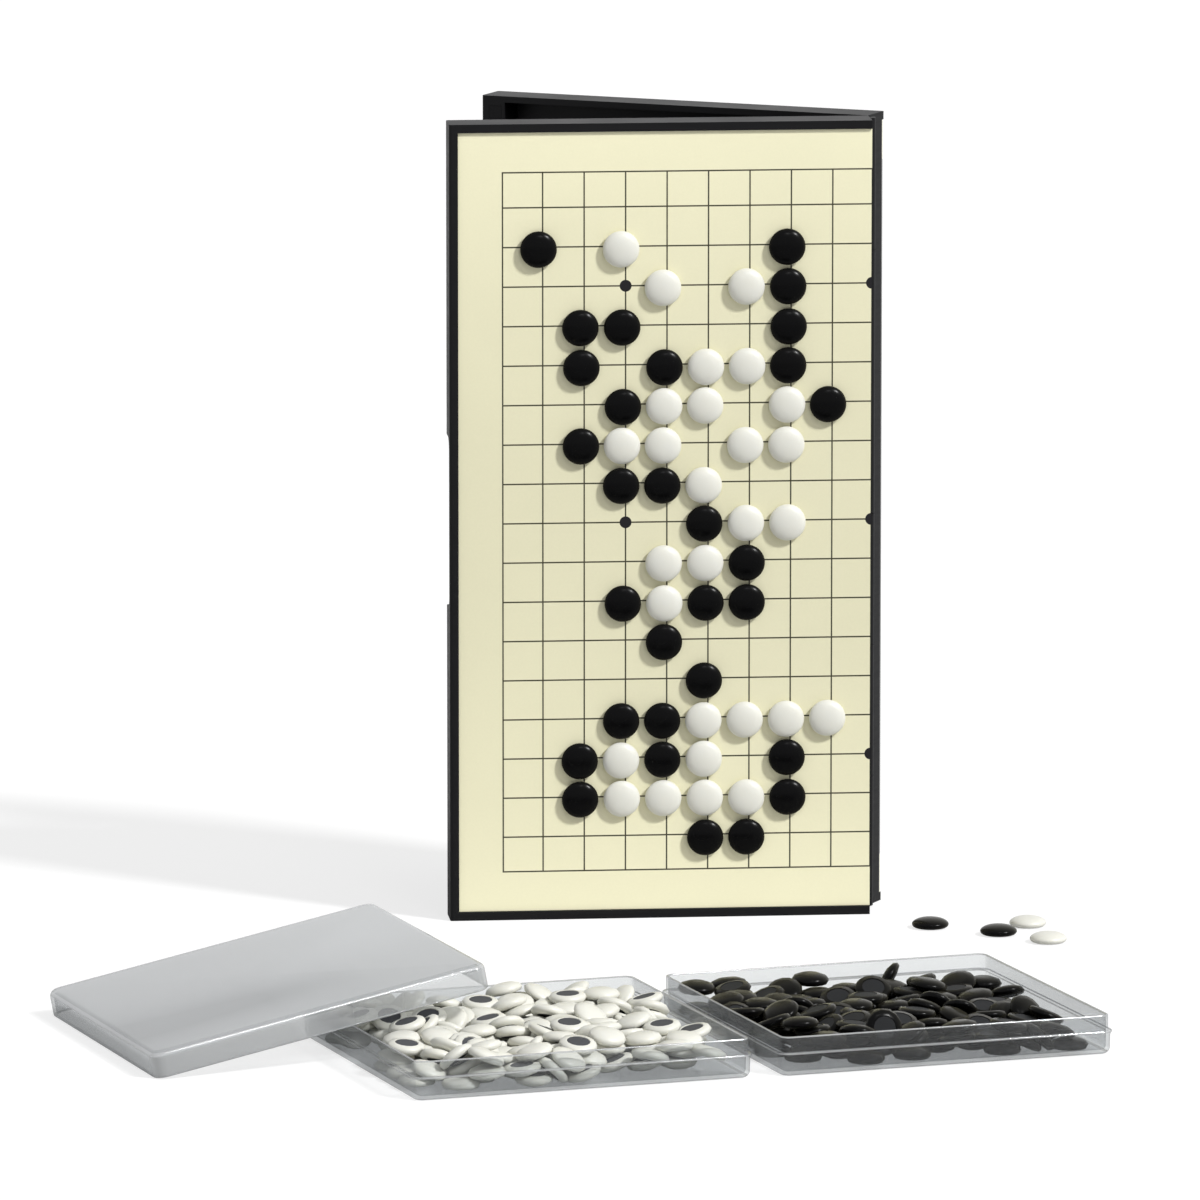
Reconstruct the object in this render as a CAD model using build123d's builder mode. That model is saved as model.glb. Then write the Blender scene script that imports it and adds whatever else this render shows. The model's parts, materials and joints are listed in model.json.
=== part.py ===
"""A magnetic folding go set: a two-part case whose outer faces are the playing board,
stood open on its end, with magnetic stones on it and two clear stone trays and a lid before it.

Millimetres. The origin is the middle of the front half's foot, on the table, +Z is up,
and the front half's playing face looks towards -Y.
"""

from math import asin, atan2, cos, degrees, pi, radians, sin
import os

from build123d import *

os.makedirs("parts", exist_ok=True)

# Playing grid, printed on both case halves
column_pitch = 18.0
row_pitch = 17.25
fold_column_pitch = 17.2
edge_column_pitch = 17.4
edge_row_pitch = 15.3
side_margin = 23.2
end_margin = 21.2
inner_columns = 7
inner_rows = 16

# Case half, one moulding used for both halves
axis_depth = 17.8
opening_angle = 28.8
fold_gap = 0.1
end_rail = 3.7
side_rail = 3.8
rail_height = 1.2
sheet_thickness = 0.4
steel_thickness = 0.5
panel_fit = 0.15
web_thickness = 1.6
end_wall = 2.8
free_wall = 2.0
hinge_wall = 4.6
corner_radius = 1.2

# Hinge
barrel_radius = 3.2
barrel_clearance = 0.25
knuckle_count = 6
knuckle_gap = 0.3
barrel_inset = 0.6
blind_end = 2.0
pin_radius = 1.2
pin_clearance = 0.06

# Finger notch in the free wall
notch_length = 75.0
notch_floor = 3.4
notch_radius = 6.0

# Closing magnets in the free corners
magnet_boss = 9.0
closing_magnet_side = 6.0
closing_magnet_thickness = 2.0
magnet_fit = 0.05

# Ribs that hold the two trays in a closed case
rib_width = 1.5
rib_height = 2.0
bay_clearance = 1.0

# Stones
stone_radius = 8.0
stone_height = 4.7
stone_edge_height = 1.4
stone_underside_radius = 7.2
stone_crown_radius = 4.4
stone_sides = 8
stone_magnet_radius = 4.8
stone_magnet_thickness = 1.4
stone_magnet_recess = 0.15
stone_magnet_sides = 8
seat_gap = 0.05

# Stones in play, one line of the board to a row, counted from the top, columns from the free edge
played_rows = {
    3: ".B.W...B.",
    4: "....W.WB.",
    5: "..BB...B.",
    6: "..B.BWWB.",
    7: "...BWW.WB",
    8: "..BWW.WW.",
    9: "...BBW...",
    10: ".....BWW.",
    11: "....WWB..",
    12: "...BWBB..",
    13: "....B....",
    14: ".....B...",
    15: "...BBWWWW",
    16: "..BWBW.B.",
    17: "..BWWWWB.",
    18: ".....BB..",
}
played_shift = (-1.7, -0.9)
played_jitter = (0.45, 0.2)

# Stones lying loose on the table
loose_stones = {
    "loose_black_stone_left": (114.4, -42.8),
    "loose_black_stone_right": (141.9, -61.7),
    "loose_white_stone_back": (157.0, -43.2),
    "loose_white_stone_front": (161.2, -80.8),
}

# Stone trays
tray_side = 146.0
tray_height = 16.4
tray_wall = 1.9
tray_floor = 1.5
tray_corner_radius = 5.0
tray_foot_bevel = 2.5
lip_height = 6.5
lip_inset = 1.0
bead_width = 0.6
bead_height = 1.0
white_tray_corner = (-136.9, -399.9)
white_tray_turn = 14.5
tray_gap = 10.9
black_tray_forward = 2.7
black_tray_turn = 14.3

# Tray lid, leaning on the white tray with one edge on the table
lid_height = 11.2
lid_wall = 1.4
lid_top = 1.4
lid_edge_bevel = 1.8
lid_reach = 86.0
lid_setback = 77.7
lean_gap = 0.3

# Heaps of stones in the trays
heap_gap = 0.3
heap_stone_sides = 8
heap_stone_height = 3.6
heap_crown_radius = 6.0
heap_stone_sink = 1.5
heap_tilt = 20.0
heap_count = 5
white_fill_left = 11.0
white_fill_right = 9.5
black_fill_left = 13.5
black_fill_right = 3.5
black_bare_end = 26.0

# Sizes worked out from the driving dimensions
half_width = fold_column_pitch + inner_columns * column_pitch + edge_column_pitch + side_margin
grid_height = inner_rows * row_pitch + 2 * edge_row_pitch
case_height = grid_height + 2 * end_margin
recess_depth = rail_height + sheet_thickness + steel_thickness
cavity_depth = axis_depth - recess_depth - web_thickness
knuckle_pitch = (case_height - 2 * barrel_inset) / knuckle_count
pin_hole_radius = pin_radius + pin_clearance
pin_end = barrel_inset + blind_end
tray_bay = tray_side + 2 * bay_clearance
tray_inner = tray_side - 2 * tray_wall
tray_ledge = tray_height - lip_height
inner_bevel = tray_foot_bevel - tray_floor / 2
lid_side = tray_side + 2 * bead_width
lid_lean = degrees(asin((tray_height + lean_gap) / lid_reach))

# Seats: X from the fold to the free edge, Y from the rim to the playing face
fold = (half_width / 2, axis_depth / 2)
front_seat = Plane(origin=(*fold, 0), x_dir=(-1, 0, 0), z_dir=(0, 0, 1))
rear_seat = Plane(
    origin=(*fold, case_height),
    x_dir=(-cos(radians(opening_angle)), sin(radians(opening_angle)), 0),
    z_dir=(0, 0, -1),
)
sheet_front = rail_height - seat_gap - axis_depth / 2
board_seat = Plane(origin=(half_width / 2, sheet_front, 0), x_dir=(1, 0, 0), z_dir=(0, -1, 0))


def tray_seat(corner, turn):
    """The table plane at a tray's near left corner, with X along its near side."""
    heading = (cos(radians(turn)), sin(radians(turn)), 0)
    return Plane(origin=(*corner, 0), x_dir=heading, z_dir=(0, 0, 1))


white_seat = tray_seat(white_tray_corner, white_tray_turn)
black_corner = white_seat.from_local_coords(Vector(tray_side + tray_gap, -black_tray_forward, 0))
black_seat = tray_seat((black_corner.X, black_corner.Y), black_tray_turn)


def leaning_seat(seat):
    """The plane of a lid's rim: its left edge on the table, its near side over the tray's left rim."""
    lean = radians(lid_lean)
    corner = seat.from_local_coords(Vector(-lid_reach * cos(lean), lid_setback, 0))
    along = seat.x_dir * cos(lean) + seat.z_dir * sin(lean)
    normal = seat.z_dir * cos(lean) - seat.x_dir * sin(lean)
    return Plane(origin=corner, x_dir=along, z_dir=normal)


lid_seat = leaning_seat(white_seat)


def save(part, name):
    """Labels a finished piece and writes its file."""
    part.label = name
    export_step(part, f"parts/{name}.step")


def knuckle_span(index, end_gap):
    """Start and length of one knuckle's stretch of the hinge line, shortened by a gap at each end."""
    return barrel_inset + index * knuckle_pitch + end_gap, knuckle_pitch - 2 * end_gap


def rim_planes(seat):
    """Planes on the rim, one at the middle of each closing magnet, looking into the moulding."""
    across = half_width - free_wall - magnet_boss / 2
    inset = end_wall + magnet_boss / 2
    for height in (inset, case_height - inset):
        origin = seat.from_local_coords(Vector(across, fold_gap, height))
        yield Plane(origin=origin, x_dir=seat.x_dir, z_dir=seat.y_dir)


def case_half(seat):
    """One half of the case: a shallow box with a recessed playing face and its hinge knuckles."""
    with BuildPart() as half:
        with BuildSketch(seat):
            with Locations((fold_gap, fold_gap)):
                Rectangle(
                    half_width - fold_gap, axis_depth - fold_gap, align=(Align.MIN, Align.MIN)
                )
        extrude(amount=case_height)
        free_side = half.faces().sort_by(Axis(seat.origin, seat.x_dir))[-1]
        fillet(free_side.edges().filter_by(Axis.Z), radius=corner_radius)
        # Hollow that faces the other half
        with BuildSketch(seat.offset(end_wall)):
            with Locations((hinge_wall, 0)):
                Rectangle(
                    half_width - hinge_wall - free_wall, cavity_depth, align=(Align.MIN, Align.MIN)
                )
        extrude(amount=case_height - 2 * end_wall, mode=Mode.SUBTRACT)
        # Recess for the steel plate and the playing sheet, open at the fold
        with BuildSketch(seat.offset(end_rail)):
            with Locations((0, axis_depth - recess_depth)):
                Rectangle(half_width - side_rail, 2 * recess_depth, align=(Align.MIN, Align.MIN))
        extrude(amount=case_height - 2 * end_rail, mode=Mode.SUBTRACT)
        # Ribs round the two tray bays
        middle = (hinge_wall + half_width - free_wall) / 2
        floor_centre = seat.from_local_coords(Vector(middle, cavity_depth, case_height / 2))
        with BuildSketch(Plane(origin=floor_centre, x_dir=seat.x_dir, z_dir=-seat.y_dir)):
            Rectangle(tray_bay + 2 * rib_width, 2 * tray_bay + 3 * rib_width)
            with GridLocations(0, tray_bay + rib_width, 1, 2):
                Rectangle(tray_bay, tray_bay, mode=Mode.SUBTRACT)
        extrude(amount=rib_height)
        # Corner bosses for the closing magnets
        for start in (end_wall, case_height - end_wall - magnet_boss):
            with BuildSketch(seat.offset(start)):
                with Locations((half_width - free_wall - magnet_boss, fold_gap)):
                    Rectangle(magnet_boss, cavity_depth - fold_gap, align=(Align.MIN, Align.MIN))
            extrude(amount=magnet_boss)
        for plane in rim_planes(seat):
            with BuildSketch(plane):
                Rectangle(closing_magnet_side + 2 * magnet_fit, closing_magnet_side + 2 * magnet_fit)
            extrude(amount=closing_magnet_thickness + magnet_fit, mode=Mode.SUBTRACT)
        # Finger notch through the free wall
        notch_depth = axis_depth - notch_floor
        notch_centre = seat.from_local_coords(Vector(half_width - free_wall, 0, case_height / 2))
        with BuildSketch(Plane(origin=notch_centre, x_dir=-seat.z_dir, z_dir=seat.x_dir)):
            RectangleRounded(notch_length, 2 * notch_depth, notch_radius)
        extrude(amount=2 * free_wall, mode=Mode.SUBTRACT)
        # Room for the other half's knuckles, then this half's own
        for index in range(knuckle_count):
            own = index % 2 == 0
            start, length = knuckle_span(index, knuckle_gap / 2 if own else -knuckle_gap / 2)
            with BuildSketch(seat.offset(start)):
                Circle(barrel_radius if own else barrel_radius + barrel_clearance)
            extrude(amount=length, mode=Mode.ADD if own else Mode.SUBTRACT)
        # Pin hole, blind at this half's end knuckle
        with BuildSketch(seat.offset(pin_end)):
            Circle(pin_hole_radius)
        extrude(amount=case_height - 2 * pin_end, mode=Mode.SUBTRACT)
    return half.part


def face_panel(seat, outer_depth, thickness):
    """A flat panel in the playing face, its outer side this far below the rails."""
    length = case_height - 2 * (end_rail + panel_fit)
    with BuildPart() as panel:
        with BuildSketch(seat.offset(end_rail + panel_fit)):
            with Locations((fold_gap, axis_depth - outer_depth - thickness)):
                Rectangle(
                    half_width - side_rail - panel_fit - fold_gap,
                    thickness,
                    align=(Align.MIN, Align.MIN),
                )
        extrude(amount=length)
    return panel.part


def closing_magnets(seat):
    """The two square magnets that draw the rims together."""
    with BuildPart() as magnets:
        for plane in rim_planes(seat):
            with BuildSketch(plane):
                Rectangle(closing_magnet_side, closing_magnet_side)
            extrude(amount=closing_magnet_thickness)
    return magnets.part


for half_name, seat in (("front", front_seat), ("rear", rear_seat)):
    save(case_half(seat), f"{half_name}_shell")
    save(face_panel(seat, rail_height, sheet_thickness), f"{half_name}_playing_sheet")
    save(face_panel(seat, rail_height + sheet_thickness, steel_thickness), f"{half_name}_steel_plate")
    save(closing_magnets(seat), f"{half_name}_closing_magnets")

with BuildPart() as hinge_pin:
    with BuildSketch(front_seat.offset(pin_end + pin_clearance)):
        Circle(pin_radius)
    extrude(amount=case_height - 2 * (pin_end + pin_clearance))
save(hinge_pin.part, "hinge_pin")


def tapered_polygon(foot_radius, top_radius, sides, foot, height):
    """A band with flat sides between two regular polygons, set on a level plane at its foot."""
    inset = (foot_radius - top_radius) * cos(pi / sides)
    with BuildSketch(Plane.XY.offset(foot)) as outline:
        RegularPolygon(foot_radius, sides)
    extrude(outline.sketch, amount=height, taper=degrees(atan2(inset, height)))


# One stone, flat side down on the origin, domed upwards, with a pocket for its magnet
with BuildPart() as stone:
    tapered_polygon(stone_underside_radius, stone_radius, stone_sides, 0, stone_edge_height)
    dome_height = stone_height - stone_edge_height
    tapered_polygon(stone_radius, stone_crown_radius, stone_sides, stone_edge_height, dome_height)
    with BuildSketch():
        RegularPolygon(stone_magnet_radius + magnet_fit, stone_magnet_sides)
    extrude(
        amount=stone_magnet_recess + stone_magnet_thickness + magnet_fit, mode=Mode.SUBTRACT
    )

with BuildPart() as stone_magnet:
    with BuildSketch(Plane.XY.offset(stone_magnet_recess)):
        RegularPolygon(stone_magnet_radius, stone_magnet_sides)
    extrude(amount=stone_magnet_thickness)


def column_place(column):
    """Distance of a grid column from the fold, counted from the free edge."""
    from_fold = inner_columns + 2 - column
    if column == 1:
        return fold_column_pitch + inner_columns * column_pitch + edge_column_pitch
    return fold_column_pitch + from_fold * column_pitch


def row_place(row):
    """Height of a grid row, counted from the top, where row 2 is the first inner one."""
    return end_margin + edge_row_pitch + (inner_rows + 2 - row) * row_pitch


def played_places(colour):
    """Where the stones of one colour stand on the board, each a little off its crossing."""
    places = []
    for row, line in played_rows.items():
        for column, mark in enumerate(line, start=1):
            if mark != colour:
                continue
            wander = 12.9 * column + 7.3 * row
            across = played_shift[0] + played_jitter[0] * sin(wander)
            up = played_shift[1] + played_jitter[1] * cos(2 * wander)
            point = (across - column_place(column), row_place(row) + up, 0)
            places.append(board_seat.location * Location(point))
    return places


def copies(piece, places):
    """The same piece as a separate solid at each place."""
    with BuildPart() as group:
        with Locations(*places):
            add(piece)
    return group.part


for colour, mark in (("black", "B"), ("white", "W")):
    save(copies(stone.part, played_places(mark)), f"{colour}_stones_on_board")
    save(copies(stone_magnet.part, played_places(mark)), f"{colour}_stone_magnets_on_board")

for stone_name, spot in loose_stones.items():
    save(copies(stone.part, [Location((*spot, 0))]), stone_name)
    save(copies(stone_magnet.part, [Location((*spot, 0))]), f"{stone_name}_magnet")


def tray_square(side, radius):
    """A rounded square about the middle of a tray, on the sketch's own plane."""
    with Locations((tray_side / 2, tray_side / 2)):
        RectangleRounded(side, side, radius)


def stone_tray(seat):
    """A square tray with a bevelled foot, a bead round its middle and a lip inside the lid's skirt."""
    with BuildPart() as hollow:
        with BuildSketch(seat.offset(tray_floor)):
            tray_square(tray_inner, tray_corner_radius - tray_wall)
        extrude(amount=tray_height)
        chamfer(hollow.faces().sort_by(Axis.Z)[0].edges(), length=inner_bevel)
    with BuildPart() as tray:
        with BuildSketch(seat):
            tray_square(tray_side, tray_corner_radius)
        extrude(amount=tray_ledge)
        chamfer(tray.faces().sort_by(Axis.Z)[0].edges(), length=tray_foot_bevel)
        with BuildSketch(seat.offset(tray_ledge - bead_height)):
            tray_square(lid_side, tray_corner_radius + bead_width)
        extrude(amount=bead_height)
        with BuildSketch(seat.offset(tray_ledge)):
            tray_square(tray_side - 2 * lip_inset, tray_corner_radius - lip_inset)
        extrude(amount=lip_height)
        add(hollow.part, mode=Mode.SUBTRACT)
    return tray.part


def tray_lid(seat):
    """A shallow square cap with a bevelled top edge, made on the plane of its rim."""
    upwards = Axis(seat.origin, seat.z_dir)
    centre = (lid_side / 2, lid_side / 2)
    radius = tray_corner_radius + bead_width
    with BuildPart() as hollow:
        with BuildSketch(seat.offset(-lid_top)):
            with Locations(centre):
                RectangleRounded(lid_side - 2 * lid_wall, lid_side - 2 * lid_wall, radius - lid_wall)
        extrude(amount=lid_height)
        chamfer(hollow.faces().sort_by(upwards)[-1].edges(), length=lid_edge_bevel - lid_wall / 2)
    with BuildPart() as lid:
        with BuildSketch(seat):
            with Locations(centre):
                RectangleRounded(lid_side, lid_side, radius)
        extrude(amount=lid_height)
        chamfer(lid.faces().sort_by(upwards)[-1].edges(), length=lid_edge_bevel)
        add(hollow.part, mode=Mode.SUBTRACT)
    return lid.part


save(stone_tray(white_seat), "white_tray")
save(stone_tray(black_seat), "black_tray")
save(tray_lid(lid_seat), "tray_lid")

# A stone of the heaps, its middle at the origin
with BuildPart() as heap_stone:
    tapered_polygon(
        stone_radius, heap_crown_radius, heap_stone_sides, -heap_stone_height / 2, heap_stone_height
    )


def heap_places(seat, fill_left, fill_right, bare_end):
    """Tilted places for the top stones, on a grid over the sloping top of the fill."""
    first = tray_wall + heap_gap + stone_radius
    last = tray_side - first
    floor_height = tray_floor + heap_gap
    places = []
    for i in range(heap_count):
        for j in range(heap_count):
            x = first + (last - first) * i / (heap_count - 1)
            y = first + (last - first) * j / (heap_count - 1)
            if x > tray_side - bare_end:
                continue
            z = floor_height + fill_left + (fill_right - fill_left) * x / tray_side
            tilt = (
                heap_tilt * sin(2.4 * i + 1.1 * j),
                heap_tilt * cos(1.7 * i - 2.3 * j),
                40 * i + 25 * j,
            )
            places.append(seat.location * Location((x, y, z + heap_stone_sink), tilt))
    return places


def stone_heap(seat, fill_left, fill_right, bare_end):
    """The stones in a tray as one closed body: a filled block with the top stones showing."""
    floor_height = tray_floor + heap_gap
    top_left = seat.from_local_coords(Vector(0, 0, floor_height + fill_left))
    fall = Vector(tray_side, 0, fill_right - fill_left)
    slope = seat.from_local_coords(fall) - seat.origin
    top_plane = Plane(origin=top_left, x_dir=slope, z_dir=slope.cross(seat.y_dir))
    with BuildPart() as heap:
        with BuildSketch(seat.offset(floor_height)) as fill:
            with Locations((tray_side / 2, tray_side / 2)):
                Rectangle(tray_inner - 2 * heap_gap, tray_inner - 2 * heap_gap)
            chamfer(fill.vertices(), length=tray_corner_radius - tray_wall)
        extrude(amount=max(fill_left, fill_right))
        chamfer(heap.faces().sort_by(Axis.Z)[0].edges(), length=inner_bevel)
        split(bisect_by=top_plane, keep=Keep.BOTTOM)
        with Locations(*heap_places(seat, fill_left, fill_right, bare_end)):
            add(heap_stone.part)
    return heap.part


save(stone_heap(white_seat, white_fill_left, white_fill_right, 0), "white_stones_in_tray")
save(
    stone_heap(black_seat, black_fill_left, black_fill_right, black_bare_end),
    "black_stones_in_tray",
)
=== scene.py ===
"""Dresses a magnetic folding go set: its case, printed sheets, stones, clear trays, lid and stage."""

import json
from math import asin, cos, pi, radians, sin

import bmesh
import bpy
import numpy as np
from bpy.props import FloatProperty, FloatVectorProperty, IntProperty, PointerProperty
from mathutils import Euler, Matrix, Vector


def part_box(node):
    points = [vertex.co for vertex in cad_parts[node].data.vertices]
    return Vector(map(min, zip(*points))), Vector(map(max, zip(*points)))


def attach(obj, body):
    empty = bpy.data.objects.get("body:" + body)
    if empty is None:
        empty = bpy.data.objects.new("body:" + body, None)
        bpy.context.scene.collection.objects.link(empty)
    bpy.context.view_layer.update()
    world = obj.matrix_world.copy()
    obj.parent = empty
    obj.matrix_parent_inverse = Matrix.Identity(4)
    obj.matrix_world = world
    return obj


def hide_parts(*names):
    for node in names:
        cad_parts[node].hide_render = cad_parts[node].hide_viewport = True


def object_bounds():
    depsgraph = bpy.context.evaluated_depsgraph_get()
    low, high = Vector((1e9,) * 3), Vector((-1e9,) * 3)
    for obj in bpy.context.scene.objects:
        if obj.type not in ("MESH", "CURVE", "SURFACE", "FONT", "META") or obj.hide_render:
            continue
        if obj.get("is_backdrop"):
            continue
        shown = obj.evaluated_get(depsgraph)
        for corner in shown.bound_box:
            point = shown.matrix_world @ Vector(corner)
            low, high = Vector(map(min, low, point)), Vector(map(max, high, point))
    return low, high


bl_info = {
    "name": "Folding go set",
    "version": (1, 0, 0),
    "blender": (4, 5, 0),
    "location": "3D View > Sidebar > Go set",
    "description": "Builds the surfaces, materials and stage of a magnetic folding go set",
    "category": "Object",
}

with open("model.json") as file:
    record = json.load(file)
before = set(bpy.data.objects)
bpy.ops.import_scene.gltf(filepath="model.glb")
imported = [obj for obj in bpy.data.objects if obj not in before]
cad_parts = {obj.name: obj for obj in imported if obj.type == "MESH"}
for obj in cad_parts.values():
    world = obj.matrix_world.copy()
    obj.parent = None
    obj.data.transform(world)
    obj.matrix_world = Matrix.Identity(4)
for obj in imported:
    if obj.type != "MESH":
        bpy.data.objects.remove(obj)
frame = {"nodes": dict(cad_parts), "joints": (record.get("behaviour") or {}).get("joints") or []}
nodes = frame["nodes"]
cad_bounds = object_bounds()

MM = 0.001
WHITE = (1.0, 1.0, 1.0)
# Corners of the CAD pieces this close together are one
WELD = 1e-6
STONE_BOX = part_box("loose_white_stone_front")
MAGNET_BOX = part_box("loose_white_stone_front_magnet")
STONE_RADIUS = (STONE_BOX[1].x - STONE_BOX[0].x) / 2
STONE_HEIGHT = STONE_BOX[1].z - STONE_BOX[0].z
MAGNET_RADIUS = (MAGNET_BOX[1].x - MAGNET_BOX[0].x) / 2
MAGNET_RECESS = MAGNET_BOX[0].z - STONE_BOX[0].z
FOLD = next(joint for joint in frame["joints"] if joint["name"] == "board_fold")
FOLD_PLACE = Vector(FOLD["pos_m"])
CASE_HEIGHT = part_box("front_shell")[1].z
# The magnet's pocket in a stone: the width round the magnet, its depth, and its depth in the heaps
POCKET_LIP = 0.1 * MM
POCKET_DEPTH = 1.5 * MAGNET_RECESS
SHALLOW_POCKET = 0.3 * MM
# Points round a stone, rings on its dome and rings on its underside
BOARD_DETAIL = (40, 10, 5)
TABLE_DETAIL = (64, 16, 9)
# Points round a stone in a heap, and round the hull that falls in its place
HEAP_AROUND = 14
HULL_AROUND = 10
# Points along a round corner of the trays and the lid
CORNER_STEPS = 14
# Printed lines between the middle one and the outermost, the outer star points' column past the first
# inner one, and the rows from one star point to the next
INNER_LINES = 8
STAR_COLUMN = 5
STAR_ROWS = 6
# The fall of the stones: worked out larger than life, because small bodies are unsteady
FALL_SCALE = 50.0
FALL_GRAVITY = -25.0
FALL_FRAMES = 110
FRICTION = 0.28
# For each heap, the seed of its draws and the share of the tray that each layer reaches to the right
HEAP_SEEDS = {"white": 4, "black": 9}
LAYER_ENDS = {"white": (1.0, 1.0, 1.0, 1.0, 0.8), "black": (1.0, 0.8, 0.6)}
# The share of the stones that start upside down, and the least share that must end in the tray
FLIPPED_SHARE = 0.3
LEAST_KEPT_SHARE = 0.6


# Settings that a user would change


def number_setting(name, description, number, **kind):
    """A number, whose unit or subtype may be given."""
    return FloatProperty(name=name, description=description, default=number, **kind)


def length_setting(name, description, metres):
    """A length, in metres."""
    return number_setting(name, description, metres, unit="LENGTH", precision=5)


def angle_setting(name, description, turn):
    """An angle, in radians."""
    return number_setting(name, description, turn, subtype="ANGLE")


def vector_setting(name, description, vector, **kind):
    """Three numbers, whose unit and subtype may be given."""
    return FloatVectorProperty(name=name, description=description, default=vector, size=3, **kind)


def colour_setting(name, description, colour):
    """A linear colour."""
    return vector_setting(name, description, colour, subtype="COLOR")


def place_setting(name, description, place):
    """A point, in metres."""
    return vector_setting(name, description, place, subtype="TRANSLATION", unit="LENGTH")


def direction_setting(name, description, direction):
    """A direction, of any length."""
    return vector_setting(name, description, direction, subtype="DIRECTION")


class CaseSettings(bpy.types.PropertyGroup):
    """The case's mouldings and the printed playing grid."""

    edge_radius: length_setting("Edge radius", "Rounding on the mouldings' sharp edges", 0.00035)
    plastic_colour: colour_setting("Case plastic", "Colour of the moulded case", (0.0045, 0.0045, 0.0052))
    sheet_colour: colour_setting("Sheet", "Ground colour of the playing sheet", (0.80, 0.77, 0.545))
    line_colour: colour_setting("Lines", "Colour of the printed lines", (0.020, 0.018, 0.008))
    star_colour: colour_setting("Star points", "Colour of the printed star points", (0.008, 0.007, 0.009))
    steel_colour: colour_setting("Steel", "Colour of the steel plates and the pin", (0.46, 0.47, 0.48))
    opening: angle_setting("Opening", "Angle between the two halves", radians(28.8))
    column_pitch: length_setting("Column pitch", "Distance between the inner columns", 0.0180)
    first_column: length_setting(
        "First column", "Distance from the fold to the nearest inner column", 0.0172
    )
    last_column: length_setting("Last column", "Distance from the fold to the outermost column", 0.1606)
    row_pitch: length_setting("Row pitch", "Distance between the inner rows", 0.01725)
    last_row: length_setting("Last row", "Distance from the middle row to the outermost rows", 0.1533)
    line_width: length_setting("Line width", "Width of the printed lines", 0.00064)
    star_radius: length_setting("Star point radius", "Radius of the printed star points", 0.0026)


class StoneSettings(bpy.types.PropertyGroup):
    """The stones on the board, on the table and in the trays."""

    black_colour: colour_setting("Black stones", "Colour of the black stones", (0.0018, 0.0018, 0.0020))
    # Painted sheen: the colour the black stones are given edge on, standing in for the reflection they
    # show there
    painted_sheen_colour: colour_setting(
        "Black stones' sheen",
        "Colour of the black stones where they are seen edge on",
        (0.046, 0.043, 0.031),
    )
    white_colour: colour_setting("White stones", "Colour of the white stones", (0.705, 0.706, 0.655))
    light_magnet_colour: colour_setting(
        "White stones' magnets", "Colour of the magnets under the white stones", (0.060, 0.062, 0.068)
    )
    dark_magnet_colour: colour_setting(
        "Black stones' magnets", "Colour of the magnets under the black stones", (0.013, 0.0137, 0.0150)
    )
    girdle_height: length_setting(
        "Girdle height", "Height of a stone's widest line above its flat side", 0.0018
    )
    white_count: IntProperty(
        name="White stones in the tray",
        description="How many stones fall into the white tray",
        default=290,
    )
    black_count: IntProperty(
        name="Black stones in the tray",
        description="How many stones fall into the black tray",
        default=215,
    )


class TraySettings(bpy.types.PropertyGroup):
    """The two clear trays and the lid."""

    side: length_setting("Side", "Outer side of a tray below its ledge", 0.146)
    height: length_setting("Height", "Height of a tray", 0.0164)
    wall: length_setting("Wall", "Wall of a tray below its ledge", 0.0019)
    floor: length_setting("Floor", "Floor of a tray", 0.0015)
    corner: length_setting("Corner radius", "Radius of a tray's upright edges", 0.005)
    lip: length_setting("Lip height", "Height of the lip above the ledge", 0.0065)
    white_turn: angle_setting(
        "White tray turn", "Angle of the white tray's near side to the board", radians(14.5)
    )
    black_turn: angle_setting(
        "Black tray turn", "Angle of the black tray's near side to the board", radians(14.3)
    )
    lid_height: length_setting("Lid height", "Depth of the lid", 0.0112)
    lid_wall: length_setting("Lid wall", "Wall of the lid", 0.0014)
    lid_overhang: length_setting(
        "Lid overhang", "How far the lid reaches past a tray on each side", 0.0006
    )
    lid_reach: length_setting(
        "Lid reach", "Distance along the lid from its edge on the table to the tray's rim", 0.086
    )
    lid_setback: length_setting("Lid setback", "Distance from the tray's near side to the lid's", 0.0777)
    plastic_colour: colour_setting("Clear plastic", "Tint of the clear plastic", (0.865, 0.875, 0.88))
    haze_colour: colour_setting(
        "Haze", "Colour of the light that the clear plastic scatters", (0.765, 0.772, 0.776)
    )
    gloss_colour: colour_setting(
        "Gloss", "Strength of the clear plastic's mirror gloss", (0.60, 0.61, 0.62)
    )


class StageSettings(bpy.types.PropertyGroup):
    """The floor, the lights and the camera."""

    camera_place: place_setting("Camera place", "Where the camera stands", (-0.4971, -5.2182, 0.9880))
    camera_aim: place_setting(
        "Camera aim", "The point at the middle of the picture", (-0.0353, -0.1060, 0.1565)
    )
    lens: number_setting("Lens", "Focal length on a 36 mm sensor, in millimetres", 366.2)
    key_strength: number_setting("Key strength", "Strength of the light from the upper right", 3.15)
    key_width: angle_setting("Key width", "How wide the key light looks from the table", radians(7.0))
    key_direction: direction_setting(
        "Key direction", "The direction that the key light comes from", (0.576, -0.484, 0.658)
    )
    strip_power: number_setting(
        "Strip power",
        "Power of the strip lamp above the front, which draws bright lines on the clear edges",
        1.8,
        unit="POWER",
    )
    strip_length: length_setting("Strip length", "Length of the strip lamp", 0.30)
    strip_width: length_setting("Strip width", "Width of the strip lamp", 0.03)
    strip_direction: direction_setting(
        "Strip direction", "The direction that the strip lamp shines from", (0.25, -0.55, 0.80)
    )
    strip_distance: length_setting("Strip distance", "Distance of the strip lamp from the lid", 1.6)
    sky_strength: number_setting("Sky strength", "Strength of the even light from all round", 0.36)
    floor_colour: colour_setting("Floor", "Colour of the floor", (0.60, 0.60, 0.60))
    floor_glow: number_setting(
        "Floor glow", "Strength of the glow that keeps the floor white for the camera", 1.45
    )


# Shader expressions


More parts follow.
